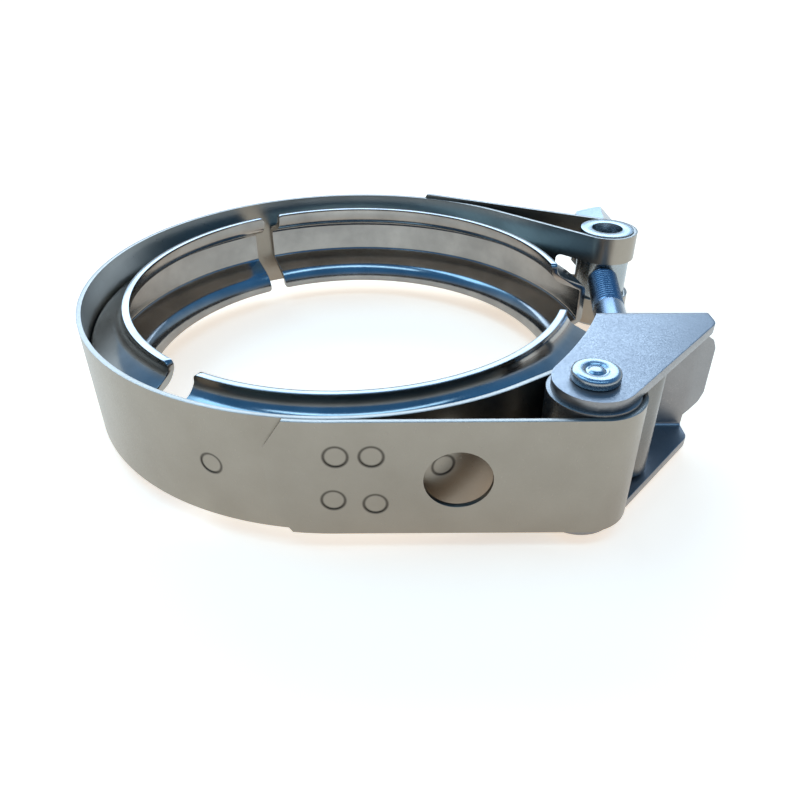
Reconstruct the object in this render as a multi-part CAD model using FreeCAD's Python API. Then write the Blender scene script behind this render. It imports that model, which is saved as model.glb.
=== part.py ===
import FreeCAD, Part
import math
import os
from FreeCAD import Rotation, Vector

# Quick release V band clamp for a round exhaust joint. Millimetres.
# Origin: the centre of the ring, half way up the strip. +Z is the axis of the joint.
# +X points at the gap between the two strip ends, where the latch sits.
# Angles are degrees from +X, counter-clockwise seen from +Z.

# ---- driving dimensions ----------------------------------------------------
RUN_FIT = 0.05             # radial clearance of everything that turns or slides

# strip
BAND_OUTER_R = 61.0
BAND_T = 1.0
BAND_W = 25.0
FOLD_GAP = 0.05            # daylight between the strip and its folded-back tongues
PIVOT = Vector(46.2, -52.6, 0)     # axis of the hook
TRUNNION = Vector(68.7, 29.2, 0)   # axis of the trunnion

FRONT_TONGUE_END = -101.0
FRONT_TONGUE_CORNER = -97.4
REAR_TONGUE_END = 73.6
REAR_TONGUE_CORNER = 70.3
TONGUE_CHAMFER = 6.0       # how far the cut corners reach along the strip's width

FRONT_HOLE_X = 22.2
FRONT_HOLE_R = 6.2
SLOT_HALF = 5.3            # half width of the slot that lets the bolt through
SLOT_CORNER_R = 1.5
INNER_SLOT_X = 55.8        # where the slot ends in the leg next to the ring
OUTER_SLOT_X = 58.4        # and in the leg that folds back
SLOT_SPLIT_Y = 35.0        # height in plan that lies between the two legs there

# spot welds
SPOT_R = 2.1               # electrode print
SPOT_DEPTH = 0.12
NUGGET_R = 1.7
NUGGET_LENGTH = 1.4        # from the middle of the tongue into the strip below
FRONT_TONGUE_SPOTS = ((0.8, 5.3), (7.0, 5.3), (0.0, -4.4), (7.5, -5.3))      # x, z
REAR_TONGUE_SPOTS = ((69.3, 5.0), (63.3, 5.0), (69.3, -5.0), (63.3, -5.0))   # angle, z
RETAINER_SPOTS = (-111.5, -71.1, 57.2, 102.6, 141.0, 176.0, 205.0)           # angles

# retainers: channels that grip the two flanges of the joint
LIP_R = 50.3               # bore between the lips
RETAINER_T = 1.5
LIP_Z = 11.4
LIP_FOOT_Z = 8.3           # corner between lip and flank, on the middle of the sheet
WEB_CORNER_Z = 4.5         # corner between flank and web
LIP_BEND_R = 3.3
WEB_BEND_R = 1.6
LIP_ROUND_R = 1.0          # rounding of the lips' corners at the cut ends
RETAINERS = {
    "retainer_front": (-121.2, -19.5),
    "retainer_left": (122.4, 230.6),
    "retainer_rear": (8.0, 117.2),
}

# hook: a channel of 2 mm sheet with two ears on the pivot
HOOK_T = 2.0
HOOK_Z = 15.0              # outside of the two ears
EAR_R = 7.6
EAR_SLOPE = 48.0           # slope in plan of the long free edge of the ears
EAR_LEFT_ANGLE = 143.0     # where the concave edge leaves the round end
EAR_LEFT_MID = Vector(46.6, -38.4, 0)
HOOK_LEFT_X = 53.2
HOOK_TIP_X = 75.2
HOOK_WEB_Y = -25.0         # outside of the web
HOOK_BEND_R = 2.6
HOOK_INNER_BEND_R = 0.6
HOOK_TIP_R = 3.0
HOOK_SLOT_HALF = 4.4
HOOK_SLOT_END_X = 68.5
HOOK_MOUTH_HALF = 6.5      # the slot opens out where it passes round the retainer
HOOK_MOUTH_X = 56.0
TAB_START_X = 74.6         # finger tab: bent out of the web's free edge
TAB_LENGTH = 5.2
TAB_SLOPE = 25.0
TAB_BEND_R = 3.0
TAB_ROOT_HALF = 10.2
TAB_TIP_HALF = 6.6

# pivot
BUSH_BORE_R = 3.05
RIVET_R = 3.0
RIVET_HEAD_R = 4.4
RIVET_HEAD_T = 2.0
RIVET_RING_R = 2.3         # ring pressed into each head by the riveting tool
RIVET_RING_WIDTH = 0.7
RIVET_RING_DEPTH = 0.35

# trunnion
TRUNNION_R = 7.0
TRUNNION_BORE_R = 4.1
TRUNNION_TOP = 12.8
TRUNNION_BOTTOM = -13.5
SEAT_FROM_AXIS = 5.6       # flat in the trunnion that the nut's collar bears on
SEAT_R = 5.2

# T bolt and nut, M8 x 1.25
BOLT_R = 3.9
BAR_R = 4.5
BAR_HALF = 12.4
BAR_CHAMFER = 0.5
BAR_CENTRE = Vector(58.1, -42.3, 0)
BOLT_LENGTH = 110.0        # from the crossbar's axis
BOLT_CHAMFER = 0.9
NUT_FLATS = 13.0
NUT_LENGTH = 24.0
NUT_SEAT = 12.2            # near face of the hexagon, from the trunnion's axis
COLLAR_R = 5.0
NUT_CHAMFER_ANGLE = 30.0

# ---- derived ---------------------------------------------------------------
ORIGIN = Vector(0, 0, 0)
Z = Vector(0, 0, 1)
HALF_W = BAND_W / 2
BAND_INNER_R = BAND_OUTER_R - BAND_T
BAND_MID_R = BAND_OUTER_R - BAND_T / 2
TONGUE_OUTER_R = BAND_OUTER_R + FOLD_GAP + BAND_T
TONGUE_MID_R = TONGUE_OUTER_R - BAND_T / 2
# the front leg leaves the ring at -90 degrees, so its loop hangs from the tongue's own radius
FRONT_LOOP_MID_R = TONGUE_MID_R + PIVOT.y
BUSH_R = FRONT_LOOP_MID_R - BAND_T / 2 - RUN_FIT
REAR_LOOP_MID_R = TRUNNION_R + RUN_FIT + BAND_T / 2
EAR_INNER_Z = HOOK_Z - HOOK_T
BOLT_DIR = (TRUNNION - BAR_CENTRE).normalize()


def polar(radius, degrees, z=0.0, centre=ORIGIN):
    """Point at a radius and an angle about a centre."""
    a = math.radians(degrees)
    return centre + Vector(radius * math.cos(a), radius * math.sin(a), z)


def line(p, q):
    return Part.LineSegment(p, q).toShape()


def arc(centre, radius, start, end):
    """Arc from one angle to another, either way round."""
    points = [polar(radius, a, 0, centre) for a in (start, (start + end) / 2, end)]
    return Part.Arc(*points).toShape()


def extrude(wire, z0, z1):
    """Solid between two heights over a closed flat wire."""
    solid = Part.Face(wire).extrude(Vector(0, 0, z1 - z0))
    solid.translate(Vector(0, 0, z0))
    return solid


def closed_wire(edges):
    return Part.Wire(Part.__sortEdges__(edges))


# ---- strips bent along a smooth path ---------------------------------------
# A path is a list of pieces, each ("line", start, end)
# or ("arc", centre, radius, start angle, end angle).

def offset_piece(piece, d):
    """One piece of a path moved sideways by d, to the left of its travel."""
    if piece[0] == "line":
        _, p, q = piece
        along = (q - p).normalize()
        left = Vector(-along.y, along.x, 0) * d
        return ("line", p + left, q + left)
    _, centre, radius, start, end = piece
    turn = 1 if end > start else -1
    return ("arc", centre, radius - turn * d, start, end)


def piece_ends(piece):
    if piece[0] == "line":
        return piece[1], piece[2]
    _, centre, radius, start, end = piece
    return polar(radius, start, 0, centre), polar(radius, end, 0, centre)


def piece_edge(piece):
    if piece[0] == "line":
        return line(piece[1], piece[2])
    return arc(*piece[1:])


def strip_wire(path, thickness):
    """Closed outline of a strip of even thickness bent along a path."""
    left = [offset_piece(p, thickness / 2) for p in path]
    right = [offset_piece(p, -thickness / 2) for p in path]
    edges = [piece_edge(p) for p in left + right]
    edges.append(line(piece_ends(left[0])[0], piece_ends(right[0])[0]))
    edges.append(line(piece_ends(left[-1])[1], piece_ends(right[-1])[1]))
    return closed_wire(edges)


def rounded_path(points, radii):
    """Lines through the points, each inner corner replaced by a tangent arc."""
    path = []
    here = points[0]
    for before, corner, after, radius in zip(points, points[1:], points[2:], radii):
        u = (corner - before).normalize()
        v = (after - corner).normalize()
        turn = math.degrees(math.atan2(u.x * v.y - u.y * v.x, u.dot(v)))
        reach = radius * math.tan(math.radians(abs(turn)) / 2)
        side = 1 if turn > 0 else -1
        start = corner - u * reach
        centre = start + Vector(-u.y, u.x, 0) * radius * side
        a0 = math.degrees(math.atan2(start.y - centre.y, start.x - centre.x))
        path.append(("line", here, start))
        path.append(("arc", centre, radius, a0, a0 + turn))
        here = corner + v * reach
    path.append(("line", here, points[-1]))
    return path


# ---- the band: one strip folded back at both ends --------------------------
def tangent_angle(circle_r, loop_centre, loop_r, sign, side):
    """Angle at which a straight leg leaves the ring to reach a loop.

    sign is +1 for a leg that crosses between the ring and the loop and -1 for one
    that runs outside both. side picks one of the two mirror answers.
    """
    towards = math.degrees(math.atan2(loop_centre.y, loop_centre.x))
    spread = math.degrees(math.acos((circle_r + sign * loop_r) / loop_centre.Length))
    return towards + side * spread


FRONT_LEAVE = tangent_angle(BAND_MID_R, PIVOT, FRONT_LOOP_MID_R, 1, -1)
REAR_LEAVE = tangent_angle(BAND_MID_R, TRUNNION, REAR_LOOP_MID_R, 1, 1)
REAR_OUTER = tangent_angle(TONGUE_MID_R, TRUNNION, REAR_LOOP_MID_R, -1, 1)


def band_path():
    """Plan of the strip: front tongue, loop, ring, rear loop, rear tongue."""
    front_foot = polar(TONGUE_MID_R, -90)
    front_top = polar(FRONT_LOOP_MID_R, FRONT_LEAVE + 180, 0, PIVOT)
    rear_near = polar(REAR_LOOP_MID_R, REAR_LEAVE - 180, 0, TRUNNION)
    rear_far = polar(REAR_LOOP_MID_R, REAR_OUTER, 0, TRUNNION)
    return [
        ("arc", ORIGIN, TONGUE_MID_R, FRONT_TONGUE_END, -90),
        ("line", front_foot, Vector(PIVOT.x, front_foot.y, 0)),
        ("arc", PIVOT, FRONT_LOOP_MID_R, -90, FRONT_LEAVE + 180),
        ("line", front_top, polar(BAND_MID_R, FRONT_LEAVE)),
        ("arc", ORIGIN, BAND_MID_R, FRONT_LEAVE, REAR_LEAVE - 360),
        ("line", polar(BAND_MID_R, REAR_LEAVE), rear_near),
        ("arc", TRUNNION, REAR_LOOP_MID_R, REAR_LEAVE - 180, REAR_OUTER),
        ("line", rear_far, polar(TONGUE_MID_R, REAR_OUTER)),
        ("arc", ORIGIN, TONGUE_MID_R, REAR_OUTER, REAR_TONGUE_END),
    ]


def tongue_corners(corner, end):
    """Cutters that take the two corners off a tongue and leave a blunt point."""
    beyond = 5.0
    radial = polar(1, corner)
    along = Vector(-radial.y, radial.x, 0) * (1 if end > corner else -1)
    reach = math.radians(abs(end - corner)) * TONGUE_MID_R
    root = polar(BAND_OUTER_R + FOLD_GAP / 2, corner)
    cutters = []
    for side in (1, -1):
        points = [
            root + Z * side * (HALF_W + beyond),
            root + Z * side * HALF_W,
            root + along * reach + Z * side * (HALF_W - TONGUE_CHAMFER),
            root + along * (reach + beyond) + Z * side * (HALF_W - TONGUE_CHAMFER),
            root + along * (reach + beyond) + Z * side * (HALF_W + beyond),
        ]
        face = Part.Face(Part.makePolygon(points + points[:1]))
        cutters.append(face.extrude(radial * 4 * BAND_T))
    return cutters


def slot_cutter(end_x, y0, y1):
    """Rounded box from the slot's closed end out past the loop."""
    length = TRUNNION.x + 3 * TRUNNION_R - end_x
    box = Part.makeBox(length, y1 - y0, 2 * SLOT_HALF, Vector(end_x, y0, -SLOT_HALF))
    corners = [e for e in box.Edges if e.BoundBox.XMax - end_x < 1e-6 and e.BoundBox.YLength > 1]
    return box.makeFillet(SLOT_CORNER_R, corners)


def weld(out, top):
    """Electrode print and weld metal of one spot weld, at a point on the outer face."""
    cutter = Part.makeCylinder(SPOT_R, 2 * BAND_T, top - out * SPOT_DEPTH, out)
    metal = Part.makeCylinder(NUGGET_R, NUGGET_LENGTH, top - out * BAND_T / 2, out * -1)
    return cutter, metal


def make_band():
    band = extrude(strip_wire(band_path(), BAND_T), -HALF_W, HALF_W)
    cutters = tongue_corners(FRONT_TONGUE_CORNER, FRONT_TONGUE_END)
    cutters += tongue_corners(REAR_TONGUE_CORNER, REAR_TONGUE_END)
    cutters.append(slot_cutter(INNER_SLOT_X, 0, SLOT_SPLIT_Y))
    cutters.append(slot_cutter(OUTER_SLOT_X, SLOT_SPLIT_Y, 2 * SLOT_SPLIT_Y))
    hole_start = Vector(FRONT_HOLE_X, -TONGUE_OUTER_R - BAND_T, 0)
    cutters.append(Part.makeCylinder(FRONT_HOLE_R, 2.5 * BAND_T, hole_start, Vector(0, 1, 0)))
    metals = []
    tongue_welds = [(Vector(0, -1, 0), Vector(x, -TONGUE_OUTER_R, z)) for x, z in FRONT_TONGUE_SPOTS]
    tongue_welds += [(polar(1, a), polar(TONGUE_OUTER_R, a, z)) for a, z in REAR_TONGUE_SPOTS]
    for out, top in tongue_welds:
        cutter, metal = weld(out, top)
        cutters.append(cutter)
        metals.append(metal)
    for angle in RETAINER_SPOTS:
        cutters.append(weld(polar(1, angle), polar(BAND_OUTER_R, angle))[0])
    for cutter in cutters:
        band = band.cut(cutter)
    return band.fuse(metals).removeSplitter()


# ---- retainers --------------------------------------------------------------
def retainer_section():
    """Channel section, open towards the axis, in the plane of radius and height."""
    lip = LIP_R + RETAINER_T / 2
    web = BAND_INNER_R - RETAINER_T / 2
    upper = [Vector(lip, LIP_Z, 0), Vector(lip, LIP_FOOT_Z, 0), Vector(web, WEB_CORNER_Z, 0)]
    lower = [Vector(p.x, -p.y, 0) for p in reversed(upper)]
    radii = (LIP_BEND_R, WEB_BEND_R, WEB_BEND_R, LIP_BEND_R)
    wire = strip_wire(rounded_path(upper + lower, radii), RETAINER_T)
    wire.rotate(ORIGIN, Vector(1, 0, 0), 90)
    return Part.Face(wire)


def lip_rounding(angle, inward, side):
    """Cutter that rounds the corner of a lip at one end of a retainer."""
    out = polar(1, angle)
    along = Vector(-out.y, out.x, 0) * inward
    up = Z * side

    def at(s, z):
        return out * (LIP_R - RETAINER_T) + along * s + up * z

    low = LIP_Z - LIP_ROUND_R
    mid = LIP_ROUND_R * (1 - math.sqrt(0.5))
    edges = [
        Part.Arc(at(LIP_ROUND_R, LIP_Z), at(mid, LIP_Z - mid), at(0, low)).toShape(),
        line(at(0, low), at(-1, low)),
        line(at(-1, low), at(-1, LIP_Z + 1)),
        line(at(-1, LIP_Z + 1), at(LIP_ROUND_R, LIP_Z + 1)),
        line(at(LIP_ROUND_R, LIP_Z + 1), at(LIP_ROUND_R, LIP_Z)),
    ]
    return Part.Face(closed_wire(edges)).extrude(out * 4 * RETAINER_T)


def make_retainer(start, end):
    face = retainer_section()
    face.rotate(ORIGIN, Z, start)
    channel = face.revolve(ORIGIN, Z, end - start)
    for side in (1, -1):
        channel = channel.cut(lip_rounding(start, 1, side))
        channel = channel.cut(lip_rounding(end, -1, side))
    return channel


# ---- hook and pivot ---------------------------------------------------------
def ear_wire():
    """Plan of an ear: round end, concave edge, web line, tip and long sloping edge."""
    left = polar(EAR_R, EAR_LEFT_ANGLE, 0, PIVOT)
    low_angle = EAR_SLOPE - 90
    foot = polar(EAR_R, low_angle, 0, PIVOT)
    slope = polar(1, EAR_SLOPE)
    tip = foot + slope * ((HOOK_TIP_X - foot.x) / slope.x)
    far_left = Vector(HOOK_LEFT_X, HOOK_WEB_Y, 0)
    far_right = Vector(HOOK_TIP_X, HOOK_WEB_Y, 0)
    edges = [piece_edge(p) for p in rounded_path([foot, tip, far_right], [HOOK_TIP_R])]
    edges += [
        arc(PIVOT, EAR_R, EAR_LEFT_ANGLE, low_angle + 360),
        line(far_right, far_left),
        Part.Arc(far_left, EAR_LEFT_MID, left).toShape(),
    ]
    return closed_wire(edges)


def along_x(shape, y, z):
    """Edges of a shape that run along X at a given Y, at +z and -z."""
    return [e for e in shape.Edges
            if e.BoundBox.XLength > 1 and e.BoundBox.YLength < 1e-3 and e.BoundBox.ZLength < 1e-3
            and abs(e.BoundBox.YMax - y) < 1e-3 and abs(abs(e.BoundBox.ZMax) - z) < 1e-3]


def hook_slot():
    """Profile of the web's slot in X and Z, open towards the ring."""
    end = HOOK_SLOT_END_X - HOOK_SLOT_HALF
    mouth = HOOK_MOUTH_X + HOOK_MOUTH_HALF - HOOK_SLOT_HALF

    def at(x, z):
        return Vector(x, HOOK_WEB_Y - 2 * HOOK_T, z)

    points = [at(end, HOOK_SLOT_HALF), at(mouth, HOOK_SLOT_HALF), at(HOOK_MOUTH_X, HOOK_MOUTH_HALF),
              at(HOOK_LEFT_X - 1, HOOK_MOUTH_HALF), at(HOOK_LEFT_X - 1, -HOOK_MOUTH_HALF),
              at(HOOK_MOUTH_X, -HOOK_MOUTH_HALF), at(mouth, -HOOK_SLOT_HALF), at(end, -HOOK_SLOT_HALF)]
    edges = [line(p, q) for p, q in zip(points, points[1:])]
    edges.append(Part.Arc(points[-1], at(HOOK_SLOT_END_X, 0), points[0]).toShape())
    return Part.Face(closed_wire(edges)).extrude(Vector(0, 4 * HOOK_T, 0))


def finger_tab():
    """Tab that continues the web and bends away from the pivot, its corners cut."""
    y = HOOK_WEB_Y - HOOK_T / 2
    root = Vector(HOOK_SLOT_END_X + 1, y, 0)
    bend = Vector(TAB_START_X, y, 0)
    tip = bend + polar(TAB_LENGTH, TAB_SLOPE)
    bent = extrude(strip_wire(rounded_path([root, bend, tip], [TAB_BEND_R]), HOOK_T), -HOOK_Z, HOOK_Z)
    outline = [(root.x, TAB_ROOT_HALF), (HOOK_TIP_X, TAB_ROOT_HALF), (tip.x - 1.2, TAB_TIP_HALF + 1.6),
               (tip.x + HOOK_T, TAB_TIP_HALF - 2.0)]
    points = [Vector(x, y - HOOK_T, z) for x, z in outline]
    points += [Vector(x, y - HOOK_T, -z) for x, z in reversed(outline)]
    mask = Part.Face(Part.makePolygon(points + points[:1])).extrude(Vector(0, 4 * HOOK_T, 0))
    return bent.common(mask)


def make_hook():
    body = extrude(ear_wire(), -HOOK_Z, HOOK_Z)
    body = body.makeFillet(HOOK_BEND_R, along_x(body, HOOK_WEB_Y, HOOK_Z))
    inner_y = HOOK_WEB_Y - HOOK_T
    room = Part.makeBox(100, 100, 2 * EAR_INNER_Z, Vector(0, inner_y - 100, -EAR_INNER_Z))
    room = room.makeFillet(HOOK_INNER_BEND_R, along_x(room, inner_y, EAR_INNER_Z))
    bore = Part.makeCylinder(RIVET_R, 2 * HOOK_Z, PIVOT - Z * HOOK_Z)
    hook = body.cut(room).cut(hook_slot()).cut(bore)
    return hook.fuse(finger_tab()).removeSplitter()


def make_pivot_bush():
    start = PIVOT - Z * EAR_INNER_Z
    bush = Part.makeCylinder(BUSH_R, 2 * EAR_INNER_Z, start)
    return bush.cut(Part.makeCylinder(BUSH_BORE_R, 2 * EAR_INNER_Z, start))


def rivet_head(side):
    """Flat head with a chamfered rim and a pressed ring round a low dome."""
    top = HOOK_Z + RIVET_HEAD_T
    chamfer = 0.35
    profile = [(0, HOOK_Z), (RIVET_HEAD_R, HOOK_Z), (RIVET_HEAD_R, top - chamfer),
               (RIVET_HEAD_R - chamfer, top), (RIVET_RING_R, top),
               (RIVET_RING_R - 0.2, top - RIVET_RING_DEPTH),
               (RIVET_RING_R - RIVET_RING_WIDTH, top - RIVET_RING_DEPTH),
               (RIVET_RING_R - RIVET_RING_WIDTH - 0.5, top - 0.1), (0, top)]
    points = [PIVOT + Vector(r, 0, side * z) for r, z in profile]
    return Part.Face(Part.makePolygon(points + points[:1])).revolve(PIVOT, Z, 360)


def make_pivot_rivet():
    shank = Part.makeCylinder(RIVET_R, 2 * HOOK_Z, PIVOT - Z * HOOK_Z)
    return shank.fuse([rivet_head(1), rivet_head(-1)]).removeSplitter()


# ---- trunnion, T bolt and nut -----------------------------------------------
def make_trunnion():
    height = TRUNNION_TOP - TRUNNION_BOTTOM
    base = TRUNNION + Z * TRUNNION_BOTTOM
    tube = Part.makeCylinder(TRUNNION_R, height, base)
    bore = Part.makeCylinder(TRUNNION_BORE_R, height, base)
    cross = Part.makeCylinder(BOLT_R + RUN_FIT, 4 * TRUNNION_R, TRUNNION - BOLT_DIR * 2 * TRUNNION_R, BOLT_DIR)
    seat = Part.makeCylinder(SEAT_R, TRUNNION_R, TRUNNION + BOLT_DIR * SEAT_FROM_AXIS, BOLT_DIR)
    return tube.cut(bore).cut(cross).cut(seat)


def make_t_bolt():
    bar = Part.makeCylinder(BAR_R, 2 * BAR_HALF, BAR_CENTRE - Z * BAR_HALF)
    bar = bar.makeChamfer(BAR_CHAMFER, [e for e in bar.Edges if e.Curve.TypeId == "Part::GeomCircle"])
    shank = Part.makeCylinder(BOLT_R, BOLT_LENGTH - BOLT_CHAMFER, BAR_CENTRE, BOLT_DIR)
    end = BAR_CENTRE + BOLT_DIR * (BOLT_LENGTH - BOLT_CHAMFER)
    point = Part.makeCone(BOLT_R, BOLT_R - BOLT_CHAMFER, BOLT_CHAMFER, end, BOLT_DIR)
    return bar.fuse([shank, point]).removeSplitter()


def make_nut():
    """Long hexagon nut with chamfered ends and a collar that reaches the trunnion."""
    corner_r = NUT_FLATS / math.sqrt(3)
    drop = math.tan(math.radians(NUT_CHAMFER_ANGLE))
    points = [polar(corner_r, 60 * i) for i in range(6)]
    hexagon = extrude(Part.makePolygon(points + points[:1]), 0, NUT_LENGTH)
    flat_r = NUT_FLATS / 2
    fall = (corner_r + 1 - flat_r) * drop
    turned = [(0, 0), (flat_r, 0), (corner_r + 1, fall), (corner_r + 1, NUT_LENGTH - fall),
              (flat_r, NUT_LENGTH), (0, NUT_LENGTH)]
    outline = [Vector(r, 0, z) for r, z in turned]
    barrel = Part.Face(Part.makePolygon(outline + outline[:1])).revolve(ORIGIN, Z, 360)
    collar_length = NUT_SEAT - SEAT_FROM_AXIS - RUN_FIT
    collar = Part.makeCylinder(COLLAR_R, collar_length, Vector(0, 0, -collar_length))
    bore = Part.makeCylinder(BOLT_R + RUN_FIT, NUT_LENGTH + collar_length, Vector(0, 0, -collar_length))
    nut = hexagon.common(barrel).fuse(collar).cut(bore).removeSplitter()
    nut.Placement = FreeCAD.Placement(TRUNNION + BOLT_DIR * NUT_SEAT, Rotation(Z, BOLT_DIR))
    return nut


# ---- write the parts --------------------------------------------------------
parts = {
    "band": make_band(),
    "hook": make_hook(),
    "pivot_bush": make_pivot_bush(),
    "pivot_rivet": make_pivot_rivet(),
    "trunnion": make_trunnion(),
    "t_bolt": make_t_bolt(),
    "nut": make_nut(),
}
for name, (start, end) in RETAINERS.items():
    parts[name] = make_retainer(start, end)

os.makedirs("parts", exist_ok=True)
for name, shape in parts.items():
    solid, = shape.Solids
    print(name, solid.isValid(), round(solid.Volume, 1))
    solid.exportStep("parts/" + name + ".step")
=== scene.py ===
"""Looks of the quick release V band clamp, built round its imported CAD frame.

Sizes are in millimetres and become metres where a mesh is made. The frame's origin is the
centre of the ring, +Z the axis of the joint, +X the gap where the latch sits.
"""
import logging
import math
from dataclasses import dataclass, field
from enum import Enum
from functools import cache
from typing import Callable, Sequence

import bmesh
import bpy
import numpy as np
from mathutils import Euler, Matrix, Vector


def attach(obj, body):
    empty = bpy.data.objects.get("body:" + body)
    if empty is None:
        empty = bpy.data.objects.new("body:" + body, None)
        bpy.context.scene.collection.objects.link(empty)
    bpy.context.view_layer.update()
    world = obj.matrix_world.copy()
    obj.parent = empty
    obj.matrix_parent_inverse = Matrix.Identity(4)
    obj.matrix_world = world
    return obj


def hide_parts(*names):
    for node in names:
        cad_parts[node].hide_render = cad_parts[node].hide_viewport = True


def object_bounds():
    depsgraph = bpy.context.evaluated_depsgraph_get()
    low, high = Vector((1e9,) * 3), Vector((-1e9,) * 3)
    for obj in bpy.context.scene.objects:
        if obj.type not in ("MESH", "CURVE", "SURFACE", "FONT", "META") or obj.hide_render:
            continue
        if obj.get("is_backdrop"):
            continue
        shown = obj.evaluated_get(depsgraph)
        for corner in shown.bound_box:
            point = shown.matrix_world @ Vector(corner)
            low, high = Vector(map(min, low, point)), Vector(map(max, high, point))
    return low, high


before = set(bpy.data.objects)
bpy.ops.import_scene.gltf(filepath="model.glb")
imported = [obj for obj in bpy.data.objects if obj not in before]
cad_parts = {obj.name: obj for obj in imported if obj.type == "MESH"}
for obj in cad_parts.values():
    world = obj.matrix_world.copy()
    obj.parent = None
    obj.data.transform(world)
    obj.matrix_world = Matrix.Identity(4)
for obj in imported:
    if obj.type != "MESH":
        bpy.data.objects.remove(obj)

log = logging.getLogger("clamp")
MM = 0.001
UP = np.array([0.0, 0.0, 1.0])


# ---- plane curves ------------------------------------------------------------
@dataclass(frozen=True)
class Line:
    """Straight stretch of a plane path."""

    start: np.ndarray
    end: np.ndarray

    def sample(self, step: float) -> tuple[np.ndarray, np.ndarray]:
        """Points p0 + t (p1 - p0) and the unit normals to the left of travel.

        Args:
            step: Ignored, a line needs only its ends.

        Returns:
            Points and normals, each (2, 2).
        """
        points = np.array([self.start, self.end], float)
        along = (points[1] - points[0]) / np.linalg.norm(points[1] - points[0])
        left = np.array([-along[1], along[0]])
        return points, np.array([left, left])


@dataclass(frozen=True)
class Arc:
    """Circular stretch of a plane path, from one angle to another in degrees."""

    centre: np.ndarray
    radius: float
    start: float
    end: float

    def sample(self, step: float) -> tuple[np.ndarray, np.ndarray]:
        """Points c + r (cos a, sin a), with normals along the radius.

        Args:
            step: Longest chord in millimetres.

        Returns:
            Points and left normals, each (n, 2).
        """
        turn = math.radians(self.end - self.start)
        count = max(4, int(abs(turn) * self.radius / step) + 2)
        a = np.radians(self.start) + np.linspace(0, turn, count)
        spoke = np.stack([np.cos(a), np.sin(a)], -1)
        return np.asarray(self.centre) + self.radius * spoke, -np.sign(turn) * spoke


def sample_path(path: Sequence[Line | Arc], step: float) -> tuple[np.ndarray, np.ndarray, np.ndarray]:
    """Join the samples of a smooth path's stretches.

    Args:
        path: Lines and arcs, end to end.
        step: Longest chord of an arc.

    Returns:
        Points (n, 2), left normals (n, 2) and distance run (n).
    """
    points, normals = [], []
    for piece in path:
        p, n = piece.sample(step)
        skip = 1 if points else 0
        points.append(p[skip:])
        normals.append(n[skip:])
    p, n = np.concatenate(points), np.concatenate(normals)
    run = np.concatenate([[0], np.cumsum(np.linalg.norm(np.diff(p, axis=0), axis=1))])
    return p, n, run


def rounded(points: Sequence[Sequence[float]], radii: Sequence[float]) -> list[Line | Arc]:
    """Lines through the points with each inner corner replaced by a tangent arc.

    Args:
        points: Corners of the path.
        radii: One radius per inner corner.

    Returns:
        The path's stretches.
    """
    corners = [np.array(p, float) for p in points]
    path: list[Line | Arc] = []
    here = corners[0]
    for before, corner, after, radius in zip(corners, corners[1:], corners[2:], radii):
        u = (corner - before) / np.linalg.norm(corner - before)
        v = (after - corner) / np.linalg.norm(after - corner)
        turn = math.degrees(math.atan2(u[0] * v[1] - u[1] * v[0], float(u @ v)))
        reach = radius * math.tan(math.radians(abs(turn)) / 2)
        start = corner - u * reach
        centre = start + np.array([-u[1], u[0]]) * radius * math.copysign(1, turn)
        a0 = math.degrees(math.atan2(*(start - centre)[::-1]))
        path += [Line(here, start), Arc(centre, radius, a0, a0 + turn)]
        here = corner + v * reach
    return path + [Line(here, corners[-1])]


def polar(radius: float, degrees: float, centre: Sequence[float] = (0, 0)) -> np.ndarray:
    """Plan point at a radius and an angle about a centre.

    Args:
        radius: Distance from the centre.
        degrees: Angle from +X.
        centre: The centre in plan.

    Returns:
        The point, (2,).
    """
    a = math.radians(degrees)
    return np.array([centre[0] + radius * math.cos(a), centre[1] + radius * math.sin(a)])


# ---- meshes -------------------------------------------------------------------
def linked(name: str, data: bpy.types.ID) -> bpy.types.Object:
    """New object in the scene.

    Args:
        name: The object's name.
        data: Its mesh, camera or lamp.

    Returns:
        The object.
    """
    made = bpy.data.objects.new(name, data)
    bpy.context.scene.collection.objects.link(made)
    return made


def mesh_object(name: str, points: np.ndarray, faces: Sequence[Sequence[int]]) -> bpy.types.Object:
    """Put points in millimetres and faces into a new object, with its faces turned outwards.

    Args:
        name: The object's name.
        points: (n, 3) vertices in millimetres.
        faces: Vertex indices of each face.

    Returns:
        The object, linked to the scene.
    """
    mesh = bpy.data.meshes.new(name)
    mesh.from_pydata((points * MM).tolist(), [], [list(map(int, f)) for f in faces])
    work = bmesh.new()
    work.from_mesh(mesh)
    bmesh.ops.remove_doubles(work, verts=work.verts, dist=1e-7)
    bmesh.ops.recalc_face_normals(work, faces=work.faces)
    work.to_mesh(mesh)
    work.free()
    return linked(name, mesh)


def grid_faces(rows: int, cols: int, wrap: bool) -> np.ndarray:
    """Quads of a grid of points, row after row.

    Args:
        rows: Number of rows.
        cols: Points in a row.
        wrap: Whether each row closes on itself.

    Returns:
        (faces, 4) indices.
    """
    r = np.arange(rows - 1)[:, None]
    c = np.arange(cols if wrap else cols - 1)[None, :]
    n = (c + 1) % cols
    quads = np.stack([r * cols + c, r * cols + n, (r + 1) * cols + n, (r + 1) * cols + c], -1)
    return quads.reshape(-1, 4)


def tube(name: str, grid: np.ndarray) -> bpy.types.Object:
    """Closed solid from rows of section points, with a flat face on each end.

    Args:
        name: The object's name.
        grid: (rows, cols, 3), each row one closed section.

    Returns:
        The object.
    """
    rows, cols, _ = grid.shape
    faces = grid_faces(rows, cols, True).tolist()
    faces.append(list(range(cols))[::-1])
    faces.append(list(range((rows - 1) * cols, rows * cols)))
    return mesh_object(name, grid.reshape(-1, 3), faces)


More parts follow.
